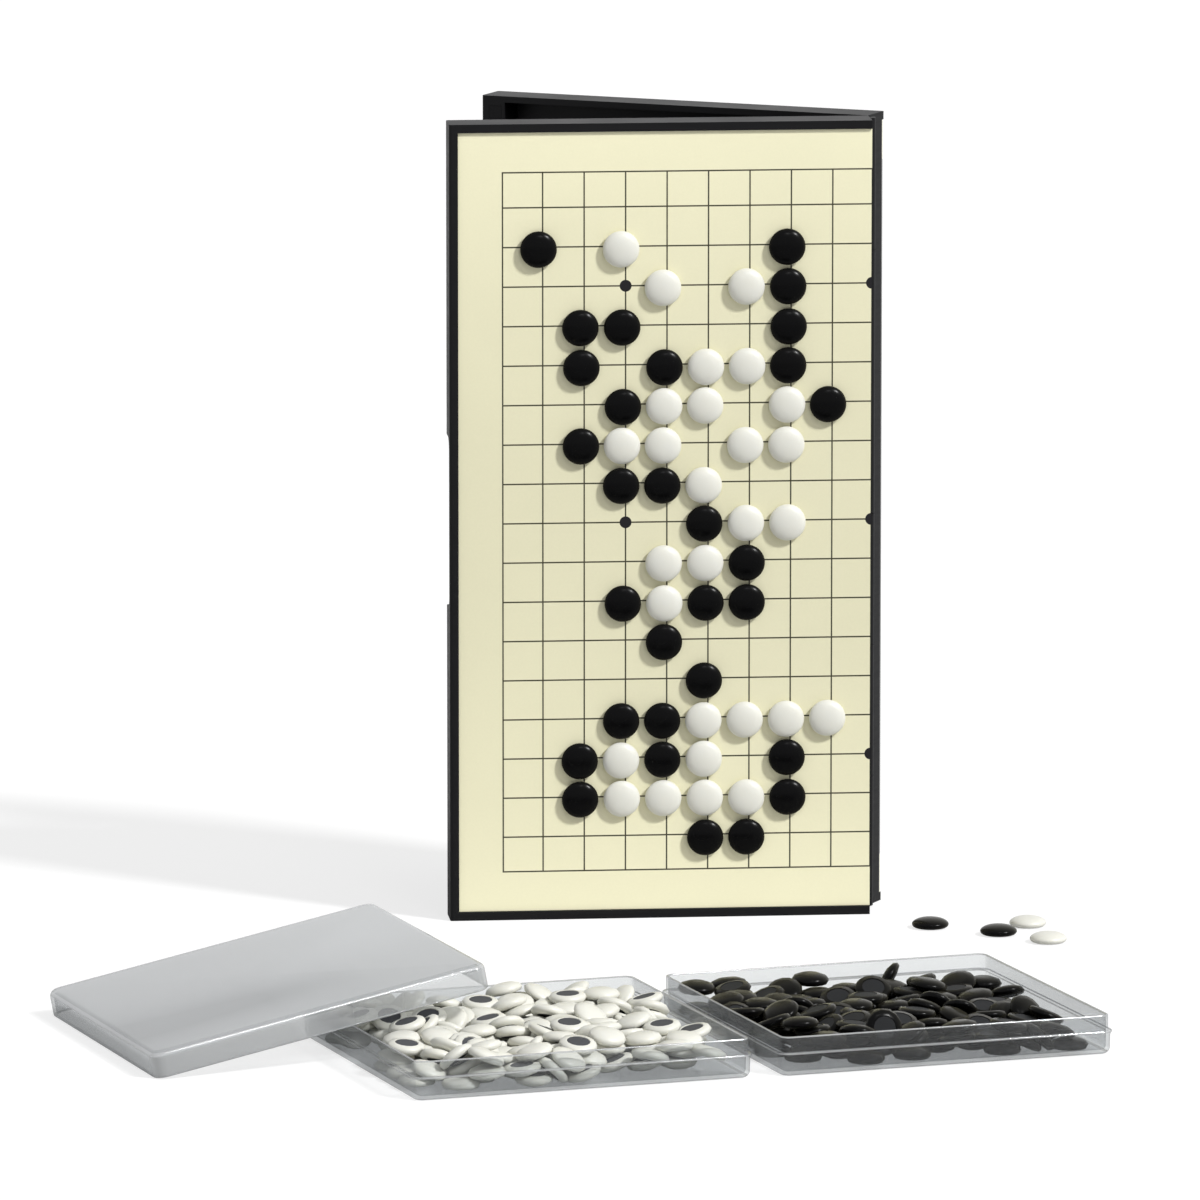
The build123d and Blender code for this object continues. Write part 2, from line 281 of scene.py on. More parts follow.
class Value:
    """A number that varies over a surface. Arithmetic on it adds Math nodes to its material."""

    def __init__(self, finish, socket):
        self.finish = finish
        self.socket = socket

    def math(self, operation, *others, clamp=False):
        inputs = {0: self, **dict(enumerate(others, 1))}
        return self.finish.node("ShaderNodeMath", inputs, operation=operation, use_clamp=clamp)

    def __add__(self, other):
        return self.math("ADD", other)

    __radd__ = __add__

    def __mul__(self, other):
        return self.math("MULTIPLY", other)

    __rmul__ = __mul__

    def __sub__(self, other):
        return self.math("SUBTRACT", other)

    def __rsub__(self, other):
        return (self * -1.0) + other

    def __truediv__(self, other):
        return self.math("DIVIDE", other)

    def __pow__(self, other):
        return self.math("POWER", other)

    def __abs__(self):
        return self.math("ABSOLUTE")

    def __round__(self):
        return self.math("ROUND")

    def least(self, other):
        return self.math("MINIMUM", other)

    def most(self, other):
        return self.math("MAXIMUM", other)

    def clamped(self):
        return self.math("ADD", 0.0, clamp=True)

    def under(self, reach, soft):
        """1 where the value is under a reach and 0 elsewhere, with the edge softened over a width."""
        return ((reach - self) / soft + 0.5).clamped()

    def off_lines(self, pitch):
        """Distance of the value to the nearest of evenly spaced lines."""
        cell = self / pitch
        return abs(cell - round(cell)) * pitch


class Finish:
    """A material or a world under construction."""

    def __init__(self, owner):
        self.owner = owner
        owner.use_nodes = True
        self.tree = owner.node_tree
        self.tree.nodes.clear()

    def node(self, kind, inputs=(), output=0, **settings):
        """Adds a node: its settings are set first, then its inputs are given values or links."""
        node = self.tree.nodes.new(kind)
        for key, value in settings.items():
            setattr(node, key, value)
        for key, value in dict(inputs).items():
            socket = node.inputs[key]
            if isinstance(value, Value):
                self.tree.links.new(value.socket, socket)
            elif socket.type == "RGBA":
                socket.default_value = (*value, 1.0)
            else:
                socket.default_value = value
        return Value(self, node.outputs[output]) if node.outputs else None

    def place(self):
        """The point on the surface, in the model's own frame."""
        return self.node("ShaderNodeTexCoord", output="Object")

    def along(self, origin, axis):
        """Distance of the surface point past an origin, along an axis."""
        inputs = {0: self.place(), 1: tuple(origin)}
        offset = self.node("ShaderNodeVectorMath", inputs, operation="SUBTRACT")
        inputs = {0: offset, 1: tuple(axis)}
        return self.node("ShaderNodeVectorMath", inputs, "Value", operation="DOT_PRODUCT")

    def noise(self, scale, detail=3.0, stretch=(1.0, 1.0, 1.0)):
        """A noise value from 0 to 1, with a scale in cycles a metre and a stretch for each axis."""
        place = self.node("ShaderNodeVectorMath", {0: self.place(), 1: stretch}, operation="MULTIPLY")
        return self.node("ShaderNodeTexNoise", {"Vector": place, "Scale": scale, "Detail": detail})

    def facing(self):
        """0 where the surface faces the viewer, and 1 where it is seen edge on."""
        return self.node("ShaderNodeLayerWeight", {"Blend": 0.5}, "Facing")

    def mixed(self, factor, first, second):
        """A colour that goes from the first to the second as the factor goes from 0 to 1."""
        return self.node("ShaderNodeMix", {0: factor, 6: first, 7: second}, 2, data_type="RGBA")

    def blended(self, factor, first, second):
        """A shader that goes from the first to the second as the factor goes from 0 to 1."""
        return self.node("ShaderNodeMixShader", {0: factor, 1: first, 2: second})

    def bump(self, height, strength, distance):
        """A surface normal tilted by a height, where distance is the height of 1."""
        return self.node("ShaderNodeBump", {"Height": height, "Strength": strength, "Distance": distance})

    def principled(self, inputs):
        return self.node("ShaderNodeBsdfPrincipled", inputs)

    def done(self, shader, kind="ShaderNodeOutputMaterial"):
        """Links the shader to an output node and returns the finished material or world."""
        self.node(kind, {"Surface": shader})
        return self.owner

    def painted(self, inputs):
        """The finished material, where one principled shader is all of it."""
        return self.done(self.principled(inputs))


def new_finish(name):
    """The finish of a new material."""
    return Finish(bpy.data.materials.new(name))


def toned(colour, factor):
    """A colour made lighter or darker by a factor."""
    return tuple(min(channel * factor, 1.0) for channel in colour)


def case_plastic(settings):
    """Black moulded plastic: satin, with a fine grain, faint drag marks and a slightly uneven tone."""
    finish = new_finish("case_plastic")
    grain = finish.noise(2600.0, detail=2.0)
    drag = finish.noise(160.0, detail=4.0, stretch=(0.25, 0.25, 3.2))
    cloud = finish.noise(22.0, detail=3.0)
    colour = settings.plastic_colour
    tone = (drag * 0.55 + cloud * 0.45).clamped()
    return finish.painted({
        "Base Color": finish.mixed(tone, toned(colour, 0.72), toned(colour, 1.5)),
        "Roughness": 0.34 + drag * 0.16 + grain * 0.10,
        "Specular IOR Level": 0.15,
        "Normal": finish.bump(grain * 0.35 + drag * 0.65, 0.30, 0.12 * MM),
    })


def printed_sheet(name, settings, axis):
    """Cream printed sheet, with painted shade and light: darker at the middle row, lighter at the outer
    ones. The grid is worked out from the distance to the fold and to the middle row.
    """
    finish = new_finish(name)
    across = finish.along(FOLD_PLACE, axis)
    up = finish.along((0.0, 0.0, CASE_HEIGHT / 2), (0.0, 0.0, 1.0))
    height = abs(up)
    half_line = settings.line_width / 2
    soft = 0.12 * MM

    off_column = (across - settings.first_column).off_lines(settings.column_pitch)
    past_fold = (across * -1.0).under(-0.5 * settings.first_column, soft)
    last_inner_column = settings.first_column + (INNER_LINES - 0.5) * settings.column_pitch
    inner_columns = off_column.under(half_line, soft) * across.under(last_inner_column, soft) * past_fold
    outer_columns = abs(across).least(abs(across - settings.last_column)).under(half_line, soft)
    columns = inner_columns.most(outer_columns) * height.under(settings.last_row + half_line, soft)

    off_row = up.off_lines(settings.row_pitch)
    last_inner_row = (INNER_LINES + 0.5) * settings.row_pitch
    inner_rows = off_row.under(half_line, soft) * height.under(last_inner_row, soft)
    outer_rows = abs(height - settings.last_row).under(half_line, soft)
    rows = inner_rows.most(outer_rows) * across.under(settings.last_column + half_line, soft)
    lines = columns.most(rows)

    star_column = settings.first_column + STAR_COLUMN * settings.column_pitch
    star_across = abs(across).least(abs(across - star_column))
    star_up = up.off_lines(STAR_ROWS * settings.row_pitch)
    stars = ((star_across ** 2.0 + star_up ** 2.0) ** 0.5).under(settings.star_radius, soft)

    fibre = finish.noise(900.0, detail=4.0)
    cloud = finish.noise(14.0, detail=2.0)
    # Painted shade and light: the ground darkens towards the middle row and lightens towards the outer
    # rows
    painted_light_to_outer_rows = (height / settings.last_row) ** 2.0
    tone = (fibre * 0.2 + cloud * 0.3 + painted_light_to_outer_rows * 0.5).clamped()
    ground = finish.mixed(tone, toned(settings.sheet_colour, 0.87), toned(settings.sheet_colour, 1.13))
    inked = finish.mixed(lines * (0.94 + fibre * 0.06), ground, settings.line_colour)
    ink = lines.most(stars)
    return finish.painted({
        "Base Color": finish.mixed(stars, inked, settings.star_colour),
        "Roughness": 0.46 + fibre * 0.12 - ink * 0.08,
        "Specular IOR Level": 0.25,
        "Normal": finish.bump(fibre + ink * 0.4, 0.12, 0.06 * MM),
    })


def bare_metal(name, colour, rough):
    """Plain metal with fine drawn marks."""
    finish = new_finish(name)
    drawn = finish.noise(700.0, detail=3.0, stretch=(1.0, 1.0, 0.06))
    return finish.painted({
        "Base Color": finish.mixed(drawn, toned(colour, 0.85), toned(colour, 1.12)),
        "Metallic": 1.0,
        "Roughness": rough + drawn * 0.15,
        "Normal": finish.bump(drawn, 0.15, 0.04 * MM),
    })


def magnet_ferrite(name, colour):
    """Dull sintered magnet, a little mottled."""
    finish = new_finish(name)
    mottle = finish.noise(1500.0, detail=5.0)
    cloud = finish.noise(180.0, detail=2.0)
    tone = (mottle * 0.5 + cloud * 0.5).clamped()
    return finish.painted({
        "Base Color": finish.mixed(tone, toned(colour, 0.7), toned(colour, 1.35)),
        "Roughness": 0.52 + mottle * 0.2,
        "Specular IOR Level": 0.15,
        "Normal": finish.bump(mottle, 0.25, 0.06 * MM),
    })


def black_stone_plastic(settings):
    """Satin black plastic of the stones: a painted olive sheen edge on, where the base colour stands in
    for a reflection, and a very fine moulded skin.
    """
    finish = new_finish("black_stone_plastic")
    skin = finish.noise(3200.0, detail=2.0)
    cloud = finish.noise(120.0, detail=3.0)
    # Painted sheen: the base colour turns olive where the surface is seen edge on
    painted_sheen = (finish.facing() ** 2.0 * (0.7 + cloud * 0.6)).clamped()
    return finish.painted({
        "Base Color": finish.mixed(painted_sheen, settings.black_colour, settings.painted_sheen_colour),
        "Roughness": 0.16 + cloud * 0.12 + skin * 0.04,
        "Specular IOR Level": 0.07,
        "Normal": finish.bump(skin, 0.12, 0.05 * MM),
    })


def white_stone_plastic(settings):
    """Milky white plastic of the stones, slightly uneven, with a fine moulded skin."""
    finish = new_finish("white_stone_plastic")
    skin = finish.noise(3000.0, detail=2.0)
    cloud = finish.noise(95.0, detail=3.0)
    colour = settings.white_colour
    warm = (colour[0], colour[1] * 0.985, colour[2] * 0.95)
    return finish.painted({
        "Base Color": finish.mixed(cloud, toned(colour, 1.01), warm),
        "Roughness": 0.34 + cloud * 0.12,
        "Specular IOR Level": 0.5,
        "Subsurface Weight": 0.12,
        "Subsurface Radius": (1.2 * MM, 1.1 * MM, 0.9 * MM),
        "Subsurface Scale": 1.0,
        "Normal": finish.bump(skin, 0.12, 0.05 * MM),
    })


def painted_edge_lines(up, heights):
    """1 on bands along the moulded edges that run round a clear piece at the given heights, and 0
    elsewhere: the bands where light and shade lines are painted.
    """
    half_width = 0.3 * MM
    soft = 0.2 * MM
    found = 0.0
    for height in heights:
        found = abs(up - height).under(half_width, soft).most(found)
    return found


def clear_plastic(finish, settings, tone, painted_edge_line, veil, milk, shine_cut_by_painted_shade):
    """Clear moulded plastic: it greys what lies behind it, more so at a grazing view, under a clean gloss.

    tone runs from 0, its dark haze, to 1, its light one, and for the lid it also holds painted shade and
    light.
    The edge-line mask is 1 on the moulded edges, where light and shade lines are painted with more smoke,
    haze and mirror gloss. veil is the share of light that it scatters face on, and milk how much more it
    scatters edge on. The shine factor is 1 on open surfaces, and less on those that lie flat on the table,
    a painted shade that cuts the gloss and the grazing haze there.
    """
    tint = settings.plastic_colour
    haze = settings.haze_colour
    # Near the table the grazing haze and the gloss are cut: painted shade
    edge_on = finish.facing() ** 3.0 * shine_cut_by_painted_shade
    flow = finish.noise(260.0, detail=3.0, stretch=(1.0, 1.0, 0.3))
    surface = finish.principled({
        "Base Color": finish.mixed(tone, toned(haze, 0.42), toned(haze, 1.2)),
        "Roughness": 0.16 + flow * 0.06,
        "Specular IOR Level": 0.3,
        "Normal": finish.bump(flow, 0.08, 0.08 * MM),
    })
    lit_through = finish.node("ShaderNodeBsdfTranslucent", {"Color": tint})
    lit_share = 0.4
    body = finish.blended(lit_share, surface, lit_through)
    clear = finish.node("ShaderNodeBsdfTransparent", {"Color": toned(tint, 1.05)})
    smoky = finish.node("ShaderNodeBsdfTransparent", {"Color": toned(tint, 0.78)})
    # Painted light and shade lines: the edge lines add darker smoke, more haze and more mirror gloss
    smoke = (edge_on + flow * 0.06 + painted_edge_line * 0.5).clamped()
    through = finish.blended(smoke, clear, smoky)
    scattered = (veil + edge_on * milk + painted_edge_line * 0.4).clamped()
    inner = finish.blended(scattered, through, body)
    gloss = finish.node(
        "ShaderNodeBsdfAnisotropic", {"Color": settings.gloss_colour, "Roughness": 0.10}
    )
    mirrored = ((finish.facing() ** 5.0 * 0.9 + 0.03) * shine_cut_by_painted_shade + painted_edge_line * 0.3).clamped()
    return finish.done(finish.blended(mirrored, inner, gloss))


def tray_plastic(settings):
    """The trays' clear plastic, with painted light and shade lines along the foot, the ledge and the rim,
    and painted shade that cuts its gloss where it lies on the table.
    """
    finish = new_finish("tray_clear_plastic")
    cloud = finish.noise(9.0, detail=1.5)
    up = finish.along((0.0, 0.0, 0.0), (0.0, 0.0, 1.0))
    ledge = settings.height - settings.lip
    # Painted light and shade lines at the foot, just below the ledge and at the rim
    painted_edge_line = painted_edge_lines(up, (0.5 * MM, ledge - 0.5 * MM, settings.height - 0.3 * MM))
    # Painted shade near the table: the gloss and the grazing haze are cut
    shine_cut_by_painted_shade = 1.0 - up.under(settings.floor + 0.4 * MM, 0.3 * MM) * 0.45
    return clear_plastic(finish, settings, cloud, painted_edge_line, cloud * 0.04 + 0.025, 0.25, shine_cut_by_painted_shade)


def lid_half(settings):
    """Half the side of the lid."""
    return settings.side / 2 + settings.lid_overhang


def lid_plastic(settings, place):
    """The lid's hazier plastic: milky on its top, with painted shade, a soft dark band along its near
    half, and painted light that makes it lighter towards the right.

    The painted shade band is 1 / (1 + (d / w) ** 2), with d the distance to its middle line and w its
    half width. The lid's near wall is milkiest and darkest towards the left.
    """
    finish = new_finish("lid_clear_plastic")
    half = lid_half(settings)
    up = finish.along(place.translation, place.col[2].xyz)
    to_right = finish.along(place.translation, place.col[0].xyz)
    to_back = finish.along(place.translation, place.col[1].xyz)
    cloud = finish.noise(9.0, detail=1.5)
    wall = up.under(settings.lid_height - 2.2 * MM, 0.8 * MM)
    near_wall = wall * to_back.under(-0.93 * half, 4 * MM)
    near_wall = near_wall * (to_right.under(0.0, 30 * MM) * 0.6 + 0.4)
    shade_band_middle = 0.45 * half
    shade_band_width = 22 * MM
    # Painted shade: a soft dark band across the top's near half, fading out to the right
    off_shade_band = (to_back + shade_band_middle) / shade_band_width
    painted_shade_band = (off_shade_band * off_shade_band + 1.0) ** -1.0
    painted_shade_band = painted_shade_band * to_right.under(0.15 * half, 45 * MM)
    # Painted light: the tone also rises towards the right
    tone = (0.62 + cloud * 0.12 - painted_shade_band * 0.7 - near_wall * 0.3 + to_right * 2.5).clamped()
    # Painted light and shade lines round the lid's rim and along its top edge
    painted_edge_line = painted_edge_lines(up, (0.3 * MM, settings.lid_height - 1.5 * MM, settings.lid_height - 1.0 * MM))
    veil = 0.09 + near_wall * 0.5
    return clear_plastic(finish, settings, tone, painted_edge_line, veil, 1.1 - wall * 0.8, 1.0)


def floor_white(settings):
    """Pale floor that stays white for the camera and keeps soft shadows."""
    finish = new_finish("floor_white")
    camera = finish.node("ShaderNodeLightPath", output="Is Camera Ray")
    through = finish.node("ShaderNodeLightPath", output="Is Transmission Ray")
    matt = finish.principled({"Base Color": settings.floor_colour, "Roughness": 0.9})
    glow = finish.node("ShaderNodeEmission", {"Color": WHITE, "Strength": settings.floor_glow})
    return finish.done(finish.blended((camera + through).clamped() * 0.5, matt, glow))


# Surfaces


def ring_faces(rings, around):
    """Faces of a closed skin over a grid of rings: quads between rings, and a flat cap at each end.

    They are given as the corners of all faces in one row, and the number of corners of each face.
    """
    ring, step = np.meshgrid(np.arange(rings - 1), np.arange(around), indexing="ij")
    first = ring * around + step
    second = ring * around + (step + 1) % around
    quads = np.stack([first, second, second + around, first + around], axis=-1).ravel()
    cap = np.arange(around)
    corners = np.concatenate([quads, cap[::-1], cap + (rings - 1) * around])
    sizes = np.concatenate([np.full(first.size, 4), [around, around]])
    return corners, sizes


def lathe(profile, around):
    """Points of a turned shape: each profile point (radius, height) goes once round the Z axis."""
    profile = np.asarray(profile, float)
    angle = np.linspace(0.0, 2 * pi, around, endpoint=False)
    radius, height = profile[:, 0, None], profile[:, 1, None]
    x = radius * np.cos(angle)
    y = radius * np.sin(angle)
    z = np.broadcast_to(height, x.shape)
    return np.stack([x, y, z], axis=-1)


def square_rings(half, corner, profile, steps):
    """Points of a profile carried round a square with round corners.

    Each profile point (inset, height) gives one ring: a square of half side half - inset whose
    corners are quarter circles of radius corner - inset, or a least radius, of steps points each.
    """
    profile = np.asarray(profile, float)
    inset, height = profile[:, 0, None, None], profile[:, 1, None, None]
    quarter = np.arange(4)[:, None] * (pi / 2)
    angle = quarter + np.linspace(0.0, pi / 2, steps)[None, :]
    least_radius = 0.3 * MM
    radius = np.maximum(corner - inset, least_radius)
    middle = quarter + pi / 4
    reach = half - inset - radius
    x = np.sign(np.cos(middle)) * reach + radius * np.cos(angle)
    y = np.sign(np.sin(middle)) * reach + radius * np.sin(angle)
    z = np.broadcast_to(height, x.shape)
    return np.stack([x, y, z], axis=-1).reshape(len(profile), 4 * steps, 3)


def arc(centre, radius, start, end, steps):
    """Points of a circular arc in a profile, with its angles in degrees."""
    angle = np.radians(np.linspace(start, end, steps))
    return np.stack([centre[0] + radius * np.cos(angle), centre[1] + radius * np.sin(angle)], axis=-1)


def skin(name, points, faces, material, sharp=35.0):
    """A mesh object from points and faces, smooth but for edges sharper than an angle in degrees."""
    points = np.asarray(points, np.float32)
    corners, sizes = faces
    mesh = bpy.data.meshes.new(name)
    mesh.vertices.add(points.size // 3)
    mesh.vertices.foreach_set("co", points.ravel())
    mesh.loops.add(len(corners))
    mesh.loops.foreach_set("vertex_index", corners.astype(np.int32))
    mesh.polygons.add(len(sizes))
    mesh.polygons.foreach_set("loop_start", (np.cumsum(sizes) - sizes).astype(np.int32))
    mesh.polygons.foreach_set("use_smooth", np.ones(len(sizes), bool))
    mesh.update(calc_edges=True)
    mesh.set_sharp_from_angle(angle=radians(sharp))
    mesh.materials.append(material)
    piece = bpy.data.objects.new(name, mesh)
    bpy.context.scene.collection.objects.link(piece)
    return piece


def copies(points, faces, places):
    """The same skin at many places, as one skin."""
    points = np.asarray(points, float).reshape(-1, 3)
    places = np.asarray(places, float)
    moved = np.einsum("kij,nj->kni", places[:, :3, :3], points) + places[:, None, :3, 3]
    corners, sizes = faces
    shifts = np.arange(len(places)) * len(points)
    return moved, ((corners + shifts[:, None]).ravel(), np.tile(sizes, len(places)))


def turned(name, profile, around, places, material, sharp=35.0):
    """A turned shape at each of the places, as one piece."""
    points, faces = copies(lathe(profile, around), ring_faces(len(profile), around), places)
    return skin(name, points, faces, material, sharp)


def moulded(name, half, corner, profile, place, material):
    """A profile carried round a square with round corners, in the plane of a place."""
    points = square_rings(half, corner, profile, CORNER_STEPS)
    points, faces = copies(points, ring_faces(len(profile), 4 * CORNER_STEPS), [np.array(place)])
    return skin(name, points, faces, material)


def stone_profile(settings, dome_steps, edge_steps):
    """Half section of a stone, from the pocket in its underside out and up to the crown.

    The underside rises as 1 - (1 - t ** 2.4) ** 0.5 while t goes from the pocket to the widest line,
    and the dome falls as (1 - (r / R) ** 2.2) ** 0.55.
    """
    girdle = settings.girdle_height
    ring = MAGNET_RADIUS + POCKET_LIP
    crown = 0.06
    t = np.sin(np.linspace(0.0, pi / 2, edge_steps, endpoint=False))
    under = np.stack([ring + (STONE_RADIUS - ring) * t, girdle * (1 - (1 - t ** 2.4) ** 0.5)], axis=-1)
    share = np.sin(np.linspace(pi / 2, crown, dome_steps))
    rise = (STONE_HEIGHT - girdle) * (1 - share ** 2.2) ** 0.55
    dome = np.stack([STONE_RADIUS * share, girdle + rise], axis=-1)
    pocket = np.array([(ring - POCKET_LIP, POCKET_DEPTH)])
    return np.concatenate([pocket, under, dome])


def magnet_profile(top):
    """Half section of a magnet: a disc with a small bevel round its outer face."""
    bevel = 0.12 * MM
    return [
        (MAGNET_RADIUS - bevel, MAGNET_RECESS),
        (MAGNET_RADIUS, MAGNET_RECESS + bevel),
        (MAGNET_RADIUS, top),
    ]


def solids(node):
    """The corner points of each separate solid in a CAD piece, lowest first and then leftmost first."""
    work = bmesh.new()
    work.from_mesh(nodes[node].data)
    bmesh.ops.remove_doubles(work, verts=work.verts, dist=WELD)
    unseen = set(work.verts)
    found = []
    while unseen:
        front = [unseen.pop()]
        solid = []
        while front:
            corner = front.pop()
            solid.append(corner.co[:])
            linked = {edge.other_vert(corner) for edge in corner.link_edges} & unseen
            unseen -= linked
            front.extend(linked)
        found.append(np.array(solid))
    work.free()
    return sorted(found, key=lambda solid: (*solid.min(axis=0)[[2, 0]],))


def stone_places(node):
    """Where each stone of a CAD node stands: its Z axis out of the playing face, turned a little."""
    turn = 1.7
    places = []
    for index, solid in enumerate(solids(node)):
        low, high = solid.min(axis=0), solid.max(axis=0)
        place = Matrix.Rotation(pi / 2, 4, "X") @ Matrix.Rotation(turn * index, 4, "Z")
        place.translation = ((low[0] + high[0]) / 2, high[1], (low[2] + high[2]) / 2)
        places.append(np.array(place))
    return places


# Pieces


def ready(piece, body, slot, *replaced):
    """Says what a piece rides on and which CAD pieces it stands for. slot, the finish it takes, is not
    used.
    """
    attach(piece, body)
    if replaced:
        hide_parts(*replaced)
    return piece


def dress(mesh, material):
    """Gives a mesh its only material."""
    mesh.materials.clear()
    mesh.materials.append(material)


class GOSET_OT_case(bpy.types.Operator):
    """Rounds the edges of the two mouldings and finishes the case's plates, magnets and pin"""

    bl_idname = "goset.case"
    bl_label = "Case"

    def execute(self, context):
        settings = context.scene.goset_case
        plastic = case_plastic(settings)
        # Faces that turn less than flat are merged, and edges that turn more than rounded get a radius
        flat, smooth, rounded = radians(0.5), radians(30), radians(40)
        for half in ("front", "rear"):
            mesh = nodes[f"{half}_shell"].data.copy()
            mesh.name = f"{half}_moulding"
            work = bmesh.new()
            work.from_mesh(mesh)
            bmesh.ops.remove_doubles(work, verts=work.verts, dist=WELD)
            bmesh.ops.dissolve_limit(work, angle_limit=flat, verts=work.verts, edges=work.edges)
            work.to_mesh(mesh)
            work.free()
            mesh.polygons.foreach_set("use_smooth", np.ones(len(mesh.polygons), bool))
            mesh.set_sharp_from_angle(angle=smooth)
            dress(mesh, plastic)
            piece = bpy.data.objects.new(f"{half}_moulding", mesh)
            context.scene.collection.objects.link(piece)
            bevel = piece.modifiers.new("round_edges", "BEVEL")
            bevel.width = settings.edge_radius
            bevel.segments = 2
            bevel.limit_method = "ANGLE"
            bevel.angle_limit = rounded
            bevel.harden_normals = True
            ready(piece, f"{half}_half", "case_plastic", f"{half}_shell")
        steel = bare_metal("plate_steel", settings.steel_colour, 0.30)
        pin = bare_metal("pin_steel", toned(settings.steel_colour, 1.2), 0.22)
        magnet = magnet_ferrite("coated_magnet", settings.plastic_colour)
        for half in ("front", "rear"):
            dress(nodes[f"{half}_steel_plate"].data, steel)
            dress(nodes[f"{half}_closing_magnets"].data, magnet)
        dress(nodes["hinge_pin"].data, pin)
        return {"FINISHED"}


class GOSET_OT_sheets(bpy.types.Operator):
    """Prints the playing grid on the two sheets"""

    bl_idname = "goset.sheets"
    bl_label = "Playing sheets"

    def execute(self, context):
        settings = context.scene.goset_case
        lean = settings.opening
        axes = {"front": (-1.0, 0.0, 0.0), "rear": (-cos(lean), sin(lean), 0.0)}
        for half, axis in axes.items():
            material = printed_sheet(f"{half}_printed_sheet", settings, axis)
            dress(nodes[f"{half}_playing_sheet"].data, material)
        return {"FINISHED"}


def stone_materials(colour):
    """The shared materials of one colour of stones and of their magnets, made at the first call."""
    settings = bpy.context.scene.goset_stones
    names = f"{colour}_stone_plastic", f"{colour}_stone_magnet"
    if names[0] not in bpy.data.materials:
        if colour == "black":
            black_stone_plastic(settings)
            magnet_ferrite(names[1], settings.dark_magnet_colour)
        else:
            white_stone_plastic(settings)
            magnet_ferrite(names[1], settings.light_magnet_colour)
    return [bpy.data.materials[name] for name in names]


def stone_group(settings, name, colour, places, detail):
    """Stones and their magnets at a list of places, as two pieces."""
    plastic, ferrite = stone_materials(colour)
    around, dome_steps, edge_steps = detail
    stones = turned(name, stone_profile(settings, dome_steps, edge_steps), around, places, plastic)
    magnets = turned(f"{name}_magnets", magnet_profile(POCKET_DEPTH), around, places, ferrite)
    return stones, magnets


class GOSET_OT_board_stones(bpy.types.Operator):
    """Makes the stones in play, each where the model has it"""

    bl_idname = "goset.board_stones"
    bl_label = "Stones in play"

    def execute(self, context):
        settings = context.scene.goset_stones
        for colour in ("black", "white"):
            node = f"{colour}_stones_on_board"
            name = f"{colour}_played_stones"
            stones, magnets = stone_group(settings, name, colour, stone_places(node), BOARD_DETAIL)
            body = f"{colour}_board_stones"
            ready(stones, body, f"{colour}_stone", node)
            ready(magnets, body, "magnet", f"{colour}_stone_magnets_on_board")
        return {"FINISHED"}


def foot_place(node, turn):
    """The plane of a CAD piece's foot as a matrix: origin under its middle, turned about Z."""
    low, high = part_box(node)
    place = Matrix.Rotation(turn, 4, "Z")
    place.translation = ((low.x + high.x) / 2, (low.y + high.y) / 2, low.z)
    return place


class GOSET_OT_loose_stones(bpy.types.Operator):
    """Makes the four stones that lie on the table"""

    bl_idname = "goset.loose_stones"
    bl_label = "Loose stones"

    def execute(self, context):
        settings = context.scene.goset_stones
        names = [name for name in nodes if name.startswith("loose_") and not name.endswith("_magnet")]
        turn = 0.9
        for index, node in enumerate(sorted(names)):
            places = [np.array(foot_place(node, turn * index))]
            colour = "black" if "black" in node else "white"
            name = node.replace("loose_", "table_")
            stones, magnets = stone_group(settings, name, colour, places, TABLE_DETAIL)
            ready(stones, f"{node}_body", f"{colour}_stone", node)
            ready(magnets, f"{node}_body", "magnet", f"{node}_magnet")
        return {"FINISHED"}


def tray_place(settings, colour):
    """The plane of a tray's foot, with X along its near side."""
    turn = settings.white_turn if colour == "white" else settings.black_turn
    return foot_place(f"{colour}_tray", turn)


def tray_profile(settings):
    """Half section of a tray, from the middle of its foot out, up, over the rim and down inside."""
    ledge = settings.height - settings.lip
    foot = 2.6 * MM
    bead = 0.6 * MM
    bead_height = 1.0 * MM
    lip_inset = 1.0 * MM
    rim = (settings.wall - lip_inset) / 2
    inner = 1.9 * MM
    draft = 0.25 * MM
    fillet = 0.15 * MM
    below_bead = 2.2 * bead_height
    step = 0.02 * MM
    return np.concatenate([
        arc((foot + draft, foot), foot, 270, 180, 7),
        [(draft / 2, ledge - below_bead)],
        arc((0.0, ledge - bead_height / 2), bead, 250, 110, 6),
        [(lip_inset - fillet, ledge - step), (lip_inset, ledge + fillet)],
        arc((settings.wall - rim, settings.height - rim), rim, 180, 0, 7),
        arc((settings.wall + inner, settings.floor + inner), inner, 180, 270, 6),
    ])


def lid_profile(settings):
    """Half section of the lid on its rim plane, from the middle of its inside over the rim to its top."""
    top = settings.lid_height
    inner = 1.9 * MM
    outer = 3.0 * MM
    rim = settings.lid_wall / 2
    return np.concatenate([
        arc((settings.lid_wall + inner, top - settings.lid_wall - inner), inner, 90, 180, 7),
        arc((rim, rim), rim, 0, -180, 8),
        arc((outer, top - outer), outer, 180, 90, 9),
    ])


class GOSET_OT_trays(bpy.types.Operator):
    """Makes the two clear trays"""

    bl_idname = "goset.trays"
    bl_label = "Trays"

    def execute(self, context):
        settings = context.scene.goset_trays
        material = tray_plastic(settings)
        profile = tray_profile(settings)
        for colour in ("white", "black"):
            place = tray_place(settings, colour)
            name = f"{colour}_clear_tray"
            piece = moulded(name, settings.side / 2, settings.corner, profile, place, material)
            ready(piece, f"{colour}_tray_set", "clear_plastic", f"{colour}_tray")
        return {"FINISHED"}


